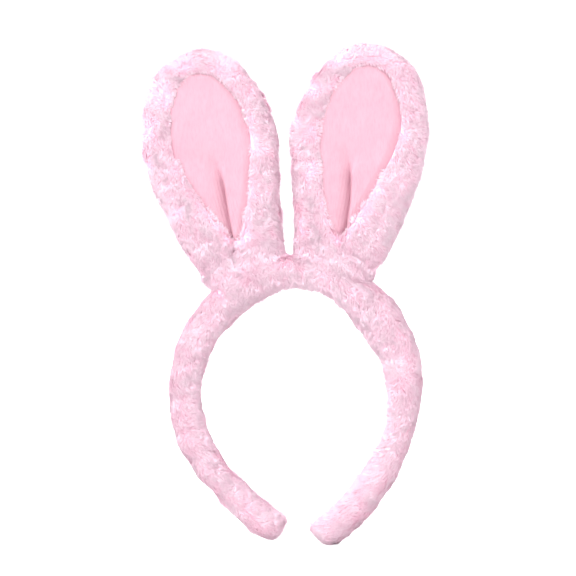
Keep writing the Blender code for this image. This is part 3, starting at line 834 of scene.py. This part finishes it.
def rim_profile(g):
    """Height of the frame's cloth face, from its edge (0) to the lining (1)."""
    h = 4.9 * np.clip(1 - (1 - np.clip(g / 0.46, 0, 1)) ** 2.2, 0, 1) ** 0.5
    return h - 1.3 * smooth((g - 0.6) / 0.4)


def back_profile(inset):
    return 4.8 * np.clip(1 - (1 - np.clip(inset / 11.0, 0, 1)) ** 2.2, 0, 1) ** 0.5


def build_ear(side, word):
    n = N_RING
    out = -unit(RIM)
    bulge = np.interp(np.arange(n) / n * 16, np.arange(17), BULGE[side] + BULGE[side][:1])
    base = EDGE - out * (PILE - 0.9) + out * bulge[:, None]
    patch = PATCH[side]
    to_patch = patch - base
    width = np.hypot(to_patch[:, 0], to_patch[:, 1])[:, None]
    puff = Waves(21 + side, 12.0, 26.0, 40, 1)

    # front frame: from the edge up and over to the lining, then back underneath
    rows = []
    gs = np.concatenate([np.linspace(0, 0.3, 10)[:-1], np.linspace(0.3, 1.0, 17)])
    for g in gs:
        pt = base + to_patch * g
        here = ear_point(side, pt[:, 0], pt[:, 1], 0.0)
        soft = 0.3 * puff(here)[:, 0] * min(1.0, g * 3) * min(1.0, (1.15 - g) * 3)
        rows.append(ear_point(side, pt[:, 0], pt[:, 1], -(rim_profile(np.full(n, g)) + soft), smooth(g / 0.35)))
    front_rows = len(rows)
    for g, w in ((1.0, 1.4), (0.6, 2.4), (0.25, 2.0), (0.08, 0.1)):
        pt = base + to_patch * g
        rows.append(ear_point(side, pt[:, 0], pt[:, 1], np.full(n, -w), smooth(g / 0.35)))
    frame = Loft(rows, True)
    frame_ob = frame.build(word + "_ear_frame", BACKING)

    # back panel: a shallow dish
    rows = []
    for i in (0.0, 0.5, 1.2, 2.2, 3.5, 5.2, 7.5, 11.0):
        pt = base + to_patch * (i / width)
        rows.append(ear_point(side, pt[:, 0], pt[:, 1], np.full(n, back_profile(i))))
    inner = base + to_patch * (11.0 / width)
    for k in np.linspace(0.93, 0.015, 20):
        pt = EAR_CENTRE + (inner - EAR_CENTRE) * k
        here = ear_point(side, pt[:, 0], pt[:, 1], 0.0)
        rows.append(ear_point(side, pt[:, 0], pt[:, 1], 4.95 + 0.5 * puff(here)[:, 0] * (1 - k * 0.7)))
    back_rows = len(rows)
    for k in (0.015, 0.4, 0.8, 1.0):
        pt = EAR_CENTRE + (inner - EAR_CENTRE) * k
        rows.append(ear_point(side, pt[:, 0], pt[:, 1], np.full(n, 3.2)))
    pt = base + to_patch * (1.6 / width)
    rows.append(ear_point(side, pt[:, 0], pt[:, 1], np.full(n, 0.1)))
    back = Loft(rows, True)
    back_ob = back.build(word + "_ear_back", BACKING)

    def lie(p, share):
        """Outward from the middle of the ear, and down."""
        u, v = to_ear(side * p[:, 0], p[:, 2])
        o = np.stack([u - EAR_CENTRE[0], (v - EAR_CENTRE[1]) * 0.55], 1)
        o = unit(o)
        gx = o[:, 0] * math.cos(LEAN) + o[:, 1] * math.sin(LEAN)
        gz = -o[:, 0] * math.sin(LEAN) + o[:, 1] * math.cos(LEAN)
        return np.stack([side * gx, 0 * gx, gz], -1) * share

    p, nn = scatter(frame.verts, frame.outer_tris(0, front_rows - 1), DENSITY, 61 + side)
    u, v = to_ear(side * p[:, 0], p[:, 2])
    spoke = np.arctan2(v - EAR_CENTRE[1], u - EAR_CENTRE[0])
    edge_at = np.unwrap(np.arctan2(patch[:, 1] - EAR_CENTRE[1], patch[:, 0] - EAR_CENTRE[0]))
    reach = np.hypot(*(patch - EAR_CENTRE).T)
    order = np.argsort(edge_at % (2 * math.pi))
    border = np.interp(spoke % (2 * math.pi), (edge_at % (2 * math.pi))[order], reach[order], period=2 * math.pi)
    close = smooth((5.0 - (np.hypot(u - EAR_CENTRE[0], v - EAR_CENTRE[1]) - border)) / 5.0)[:, None]
    low_end = close * smooth((27.0 - v) / 12.0)[:, None]
    grain = lie(p, 0.35) * (1 - 2.9 * close) + np.array((0.30, 0.0, -0.42)) + low_end * np.array((0.0, 0.0, 0.5))
    close = (close - 0.8 * low_end)[:, 0]
    piles = [("_ear_front_pile", Pile(p, nn, grain, 81 + side, length=5.8 - 1.8 * close, lift=1.9 - 0.3 * close, width=WIDTH))]
    p, nn = scatter(back.verts, back.outer_tris(0, back_rows - 1), DENSITY, 71 + side)
    grain = lie(p, 0.15) + np.array((0.0, 0.0, -0.55))
    piles.append(("_ear_back_pile", Pile(p, nn, grain, 91 + side, length=6.2, lift=1.9, width=WIDTH)))

    # foot: the cloth that joins the ear to the crown
    nf = 84
    cx, sy = superellipse(2 * math.pi * np.arange(nf) / nf, 1.0, 1.0, 2.4)
    half = math.radians(FOOT_ANGLES[1] - FOOT_ANGLES[0]) / 2
    rows = []
    for q in np.linspace(-6.0, 13.0, 20):
        wide = half - math.radians(1.6) + math.radians(1.6) * smooth(-q / 4.0)
        thick = np.interp(q, (-6.0, -3.0, 0.0, 4.0, 9.0, 13.0), (8.4, 8.7, 7.6, 5.6, 4.0, 2.6))
        ang = FOOT_A + cx * wide
        low, lowest = smooth((9.0 - q) / 10.0), smooth((3.5 - q) / 5.0)
        within, without = (0.2, 1.7) if side > 0 else (1.6, 0.3)
        ang = ang - math.radians(within * low + 2.8 * lowest) * np.clip(-cx, 0, 1) ** 4 + math.radians(without) * low * np.clip(cx, 0, 1) ** 4
        rr = ARC_R + BAND_R + q
        xx, zz = rr * np.sin(ang) - 1.2, ARC_CENTRE_Z + rr * np.cos(ang)
        u_, v_ = to_ear(xx, zz)
        dip = 0.8 * front_shift(side, u_, v_) * smooth((q + 1.0) / 7.0) * (sy < 0)
        rows.append(np.stack([side * xx, sy * thick + ear_depth(v_) + dip, zz], -1))
    foot = Loft(rows)
    foot_ob = foot.build(word + "_ear_foot", BACKING)
    p, nn = scatter(foot.verts, foot.outer_tris(2, len(rows) - 1), DENSITY * 1.1, 101 + side)
    grain = lie(p, 0.2) + np.array((0.0, 0.0, -0.8))
    foot_pile = Pile(p, nn, grain, 111 + side, length=6.6, lift=1.8, width=WIDTH)

    low, high = split_ear_piece(frame_ob, side, (word + "_ear_frame_low", word + "_ear_frame_high"))
    blow, bhigh = split_ear_piece(back_ob, side, (word + "_ear_back_low", word + "_ear_back_high"))
    follow_tilt(foot_ob)
    for ob in foot_pile.build(word + "_ear_foot_pile"):
        follow_tilt(ob)
    for name, pile in piles:
        grow_on_ear(pile, word + name, side)
    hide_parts(word + "_ear_front_fur_lower")
    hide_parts(word + "_ear_front_fur_tip")
    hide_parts(word + "_ear_back_fur_lower")
    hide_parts(word + "_ear_back_fur_tip")
    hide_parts(word + "_ear_base_stitch")
    build_lining(side, word)
    build_inside(side, word, base, to_patch, width)


def build_lining(side, word):
    """A crowned velour sheet, with the pleat pressed into its foot."""
    low = np.linspace(PATCH_V0 - 2.0, PATCH_WIDEST_V, 110)
    high = PATCH_WIDEST_V + (PATCH_V1 + 1.0 - PATCH_WIDEST_V) * np.sin(math.pi / 2 * np.linspace(0, 1, 56)[1:])
    vv = np.concatenate([low, high])
    m = 91
    hw = np.maximum(patch_half_width(np.clip(vv, PATCH_V0, PATCH_V1 - 0.3)), 0.5) + 1.3
    # the middle column follows the pleat, with the others crowded towards it
    share = np.linspace(-1, 1, m)
    bunch = np.sign(share) * np.abs(share) ** 1.6
    mid = np.clip(crease_u(side, vv) - patch_mid(side, vv), -0.6 * hw, 0.6 * hw)[:, None]
    uu = patch_mid(side, vv)[:, None] + mid + np.where(bunch < 0, bunch * (hw[:, None] + mid), bunch * (hw[:, None] - mid))
    vg = np.repeat(vv[:, None], m, 1)
    edge_d = np.minimum(hw[:, None] - np.abs(uu - patch_mid(side, vv)[:, None]), np.minimum(vg - vv[0] + 4.0, vv[-1] - vg))
    # pulled deeper into its seam on one side than on the other
    deep = smooth(0.5 + side * (uu - patch_mid(side, vv)[:, None]) / hw[:, None])
    w = -(3.4 - 1.8 * deep + (1.3 + 1.8 * deep) * np.clip(edge_d / 6.5, 0, 1) ** 0.6)
    w = w + 2.6 * smooth((PATCH_V0 + 4.5 - vg) / 6.0)
    near = np.exp(-((uu - crease_u(side, vg)) / 8.0) ** 2) * smooth((76 - vg) / 40.0)
    ribs = 0.09 * np.sin(uu * 3.4 + 0.8 * np.sin(vg * 0.11)) * near
    nap = Waves(33, 3.0, 9.0, 40, 1)
    front = ear_point(side, uu, vg, w + ribs, 1.0).reshape(-1, 3)
    front[:, 1] += 0.06 * nap(front * np.array((1.0, 1.0, 0.35)))[:, 0]
    back = ear_point(side, uu, vg, w + 0.9, 1.0).reshape(-1, 3)
    rows_n = len(vv)
    k = rows_n * m
    i, j = np.meshgrid(np.arange(rows_n - 1), np.arange(m - 1), indexing="ij")
    a = (i * m + j).ravel()
    fq = np.stack([a, a + 1, a + m + 1, a + m], 1)
    border = np.concatenate([
        np.arange(m - 1), np.arange(rows_n - 1) * m + m - 1,
        (rows_n - 1) * m + np.arange(m - 1, 0, -1), np.arange(rows_n - 1, 0, -1) * m,
    ])
    nxt = np.roll(border, -1)
    quads = np.concatenate([fq, fq[:, ::-1] + k, np.stack([nxt, border, border + k, nxt + k], 1)])
    verts = np.concatenate([front, back])
    if signed_volume(verts, to_tris(quads)) < 0:
        quads = quads[:, ::-1]
    gu, gv = np.meshgrid(np.linspace(0.01, 0.99, m), np.linspace(0.01, 0.86, rows_n))
    per = np.stack([gu.ravel(), gv.ravel()], 1)
    per = np.concatenate([per, np.stack([per[:, 0], 0.88 + 0.11 * per[:, 1]], 1)])
    ob = mesh_object(word + "_ear_lining_whole", verts, [quads], VELOUR, per[quads.ravel()])
    lo, hi = split_ear_piece(ob, side, (word + "_ear_lining_low", word + "_ear_lining_high"))
    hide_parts(word + "_ear_lining_lower", word + "_ear_lining_seam_lower", word + "_ear_pleat_tack")
    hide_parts(word + "_ear_lining_tip", word + "_ear_lining_seam_tip")


def build_inside(side, word, base, to_patch, width):
    """The wire loop and the wadding inside the ear's skin."""
    ring = EDGE + RIM * (4.2 / RIM_W)
    wire = Loft(tube_rows(ear_point(side, ring[:, 0], ring[:, 1], 0.0), 0.8, 10, True), True)
    lo, hi = split_ear_piece(wire.build(word + "_ear_wire", STEEL), side, (word + "_ear_wire_low", word + "_ear_wire_high"))
    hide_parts(word + "_ear_wire_loop_lower")
    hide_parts(word + "_ear_wire_loop_tip")
    rows = []
    puff = Waves(51 + side, 8.0, 20.0, 30, 1)

    def clear(w, v):
        return np.where(w < 0, w + 2.6 * smooth((92.0 - v) / 30.0), w)

    for inset, w in ((10.0, -1.5), (7.6, -1.1), (6.9, -0.1), (7.6, 1.6), (10.0, 2.2)):
        pt = EDGE + RIM * (inset / RIM_W)
        rows.append(ear_point(side, pt[:, 0], pt[:, 1], clear(np.full(N_RING, w), pt[:, 1])))
    mid = EDGE + RIM * (10.0 / RIM_W)
    for k, w in ((0.8, 2.4), (0.5, 2.6), (0.2, 2.6), (0.05, 2.6), (0.05, -1.0), (0.2, -1.0), (0.5, -1.0), (0.8, -1.0)):
        pt = EAR_CENTRE + (mid - EAR_CENTRE) * k
        here = ear_point(side, pt[:, 0], pt[:, 1], 0.0)
        rows.append(ear_point(side, pt[:, 0], pt[:, 1], clear(w + 0.2 * puff(here)[:, 0], pt[:, 1])))
    pad = Loft(rows, True)
    lo, hi = split_ear_piece(pad.build(word + "_ear_pad", WADDING), side, (word + "_ear_wadding_low", word + "_ear_wadding_high"))
    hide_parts(word + "_ear_wadding_lower")
    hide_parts(word + "_ear_wadding_tip")


for side, word in ((-1, "left"), (1, "right")):
    sleeve = build_band(side, word)
    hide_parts(word + "_arm_fur_cover", word + "_arm_seam_thread", word + "_arm_tip_stitch")
    if side < 0:
        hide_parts("crown_fur_cover", "crown_seam_thread")
    build_ear(side, word)

# the hidden parts keep their CAD shapes and get real materials
for node, ob in ((o.name, o) for o in bpy.data.objects if o.type == "MESH"):
    for key, mat in (("core_band", PLASTIC), ("foam_pad", FOAM), ("binding_tape", TAPE)):
        if node.endswith(key):
            for sl in ob.material_slots:
                sl.material = mat

# ------------------------------------------------------------------ stage, light and camera
(x0, y0, z0), (x1, y1, z1) = CAD_BOX


def stage_material():
    m = bpy.data.materials.new("pale_stage")
    nt, b = nodes_of(m)
    b.inputs["Base Color"].default_value = (0.6, 0.6, 0.6, 1)
    b.inputs["Roughness"].default_value = 0.9
    b.inputs["Emission Color"].default_value = (1, 1, 1, 1)
    path = nt.nodes.new("ShaderNodeLightPath")
    mul = nt.nodes.new("ShaderNodeMath")
    mul.operation = "MULTIPLY"
    mul.inputs[1].default_value = 0.55
    nt.links.new(path.outputs["Is Camera Ray"], mul.inputs[0])
    nt.links.new(mul.outputs[0], b.inputs["Emission Strength"])
    return m


bpy.ops.mesh.primitive_plane_add(size=12.0, location=(0, 0, z0 - 0.0045))
floor = bpy.context.object
floor.name = "floor"
floor.data.materials.append(stage_material())

def studio_world():
    """Soft light all round, stronger from the upper left front; white behind."""
    world = bpy.data.worlds.new("studio")
    bpy.context.scene.world = world
    world.use_nodes = True
    nt = world.node_tree
    bg = nt.nodes["Background"]
    bg.inputs["Color"].default_value = (1, 1, 1, 1)
    tex = nt.nodes.new("ShaderNodeTexCoord")
    dot = nt.nodes.new("ShaderNodeVectorMath")
    dot.operation = "DOT_PRODUCT"
    dot.inputs[1].default_value = Vector((-0.72, -0.5, 0.52)).normalized()
    nt.links.new(tex.outputs["Generated"], dot.inputs[0])
    span = nt.nodes.new("ShaderNodeMapRange")
    span.inputs["From Min"].default_value = -1.0
    span.inputs["From Max"].default_value = 1.0
    span.inputs["To Min"].default_value = WORLD_LOW
    span.inputs["To Max"].default_value = WORLD_HIGH
    nt.links.new(dot.outputs["Value"], span.inputs["Value"])
    path = nt.nodes.new("ShaderNodeLightPath")
    mix = nt.nodes.new("ShaderNodeMix")
    nt.links.new(path.outputs["Is Camera Ray"], mix.inputs[0])
    nt.links.new(span.outputs["Result"], mix.inputs[2])
    mix.inputs[3].default_value = 1.0
    nt.links.new(mix.outputs[0], bg.inputs["Strength"])


WORLD_LOW, WORLD_HIGH = 0.36, 2.12
studio_world()


def lamp(name, where, aim, size, watts):
    data = bpy.data.lights.new(name, "AREA")
    data.shape = "DISK"
    data.size = size
    data.energy = watts
    ob = bpy.data.objects.new(name, data)
    ob.location = where
    ob.rotation_euler = (Vector(aim) - Vector(where)).to_track_quat("-Z", "Y").to_euler()
    bpy.context.scene.collection.objects.link(ob)


lamp("key", (-0.95, -0.9, 0.85), (0, 0, 0.0), 0.9, 1.8)

# the camera looks from a little to the right, and is rolled by 2.5 degrees
AZ, EL, ROLL, DIST = math.radians(7.0), math.radians(2.0), math.radians(2.5), 1.6
PIXEL = 0.00063
SHIFT = (2.9, 13.5)
direction = Vector((math.sin(AZ) * math.cos(EL), -math.cos(AZ) * math.cos(EL), math.sin(EL)))
turn = Quaternion(direction, -ROLL)
right = turn @ Vector((math.cos(AZ), math.sin(AZ), 0.0))
up = direction.cross(right)
aim = Vector((0.0, 0.0, -0.008)) - right * (SHIFT[0] * PIXEL) + up * (SHIFT[1] * PIXEL)
cam_data = bpy.data.cameras.new("camera")
cam = bpy.data.objects.new("camera", cam_data)
bpy.context.scene.collection.objects.link(cam)
cam.matrix_world = Matrix.Translation(aim + direction * DIST) @ Matrix((right, up, direction)).transposed().to_4x4()
cam_data.sensor_width = 36.0
cam_data.lens = 36.0 * DIST / (576 * PIXEL)
cam_data.clip_end = 50.0
scene = bpy.context.scene
scene.camera = cam
scene.view_settings.view_transform = "Standard"
scene.view_settings.look = "None"
scene.view_settings.exposure = 0.62
scene.cycles.max_bounces = 24
scene.cycles.diffuse_bounces = 24
